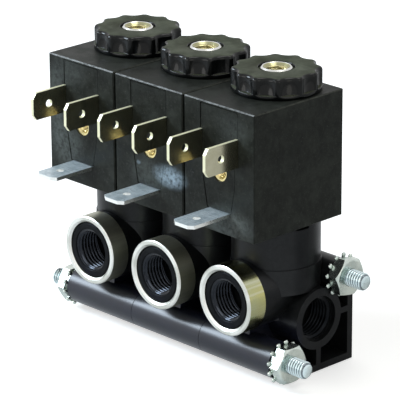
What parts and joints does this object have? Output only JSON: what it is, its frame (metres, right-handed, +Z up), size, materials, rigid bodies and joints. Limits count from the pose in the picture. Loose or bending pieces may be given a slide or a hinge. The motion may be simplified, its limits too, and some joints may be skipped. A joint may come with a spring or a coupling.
{
  "type": "pneumatic solenoid valve bank",
  "caption": "Bank of small direct-acting solenoid valves with square coils, knob nuts and ringed front ports, clamped side by side by two tie rods.",
  "frame": {"origin": "on the flat underside, below the middle valve's plunger axis", "axes": "+X along the bank towards its right-hand end, -Y out of the front ports and blades, +Z up along the plungers"},
  "size_m": [0.0814, 0.0428, 0.0687],
  "materials": {
    "body_plastic": "semi-gloss glass-filled nylon",
    "coil_plastic": "matt glass-filled moulding",
    "bobbin_nylon": "matt nylon",
    "knob_plastic": "glossy flutes, matt top",
    "ring_steel": "turned",
    "stainless": "turned stainless steel",
    "spring_steel": "drawn wire and stamped sheet",
    "zinc_steel": "blue zinc plate",
    "yoke_steel": "zinc-plated strip",
    "tinned_brass": "tinned",
    "insert_brass": "turned, knurled outside",
    "copper_wire": "enamelled copper wire",
    "seal_rubber": "moulded"
  },
  "bodies": {
    "bank": {"valve_body_1": "body_plastic", "valve_body_2": "body_plastic", "valve_body_3": "body_plastic", "port_ring_1": "ring_steel", "port_ring_2": "ring_steel", "port_ring_3": "ring_steel", "collar_1": "body_plastic", "collar_2": "body_plastic", "collar_3": "body_plastic", "guide_tube_1": "stainless", "guide_tube_2": "stainless", "guide_tube_3": "stainless", "fixed_core_1": "stainless", "fixed_core_2": "stainless", "fixed_core_3": "stainless", "plunger_spring_1": "spring_steel", "plunger_spring_2": "spring_steel", "plunger_spring_3": "spring_steel", "coil_cover_1": "coil_plastic", "coil_cover_2": "coil_plastic", "coil_cover_3": "coil_plastic", "bobbin_1": "bobbin_nylon", "bobbin_2": "bobbin_nylon", "bobbin_3": "bobbin_nylon", "winding_1": "copper_wire", "winding_2": "copper_wire", "winding_3": "copper_wire", "yoke_1": "yoke_steel", "yoke_2": "yoke_steel", "yoke_3": "yoke_steel", "power_terminals_1": "tinned_brass", "power_terminals_2": "tinned_brass", "power_terminals_3": "tinned_brass", "earth_terminal_1": "tinned_brass", "earth_terminal_2": "tinned_brass", "earth_terminal_3": "tinned_brass", "screw_insert_1": "insert_brass", "screw_insert_2": "insert_brass", "screw_insert_3": "insert_brass", "tube_seals": "seal_rubber", "module_seals": "seal_rubber", "tie_rods": "zinc_steel", "lock_nuts": "zinc_steel", "tooth_washers": "spring_steel"},
    "plunger_1": {"plunger_1": "stainless", "plunger_seals_1": "seal_rubber"},
    "knob_seal_1": {"knob_seal_1": "seal_rubber"},
    "knob_nut_1": {"knob_nut_1": "knob_plastic"},
    "plunger_2": {"plunger_2": "stainless", "plunger_seals_2": "seal_rubber"},
    "knob_seal_2": {"knob_seal_2": "seal_rubber"},
    "knob_nut_2": {"knob_nut_2": "knob_plastic"},
    "plunger_3": {"plunger_3": "stainless", "plunger_seals_3": "seal_rubber"},
    "knob_seal_3": {"knob_seal_3": "seal_rubber"},
    "knob_nut_3": {"knob_nut_3": "knob_plastic"}
  },
  "joints": [
    {"name": "plunger_1_slide", "type": "slide", "parent": "bank", "child": "plunger_1", "axis": [0, 0, 1], "range_m": [0, 0.0009], "stiffness_N_per_m": 700, "springref_m": -0.003, "deforming": ["plunger_spring_1"]},
    {"name": "knob_1_lift", "type": "slide", "parent": "bank", "child": "knob_seal_1", "axis": [0, 0, 1], "range_m": [0, 0.0031]},
    {"name": "knob_1_turn", "type": "hinge", "parent": "knob_seal_1", "child": "knob_nut_1", "pos_m": [-0.022, 0, 0.0662], "axis": [0, 0, 1], "range_deg": [0, 1440]},
    {"name": "plunger_2_slide", "type": "slide", "parent": "bank", "child": "plunger_2", "axis": [0, 0, 1], "range_m": [0, 0.0009], "stiffness_N_per_m": 700, "springref_m": -0.003, "deforming": ["plunger_spring_2"]},
    {"name": "knob_2_lift", "type": "slide", "parent": "bank", "child": "knob_seal_2", "axis": [0, 0, 1], "range_m": [0, 0.0031]},
    {"name": "knob_2_turn", "type": "hinge", "parent": "knob_seal_2", "child": "knob_nut_2", "pos_m": [0, 0, 0.0662], "axis": [0, 0, 1], "range_deg": [0, 1440]},
    {"name": "plunger_3_slide", "type": "slide", "parent": "bank", "child": "plunger_3", "axis": [0, 0, 1], "range_m": [0, 0.0009], "stiffness_N_per_m": 700, "springref_m": -0.003, "deforming": ["plunger_spring_3"]},
    {"name": "knob_3_lift", "type": "slide", "parent": "bank", "child": "knob_seal_3", "axis": [0, 0, 1], "range_m": [0, 0.0031]},
    {"name": "knob_3_turn", "type": "hinge", "parent": "knob_seal_3", "child": "knob_nut_3", "pos_m": [0.022, 0, 0.0662], "axis": [0, 0, 1], "range_deg": [0, 1440]}
  ],
  "couplings": [
    {"joint": "knob_1_lift", "follows": "knob_1_turn", "m_per_rad": 0.00011937},
    {"joint": "knob_2_lift", "follows": "knob_2_turn", "m_per_rad": 0.00011937},
    {"joint": "knob_3_lift", "follows": "knob_3_turn", "m_per_rad": 0.00011937}
  ]
}
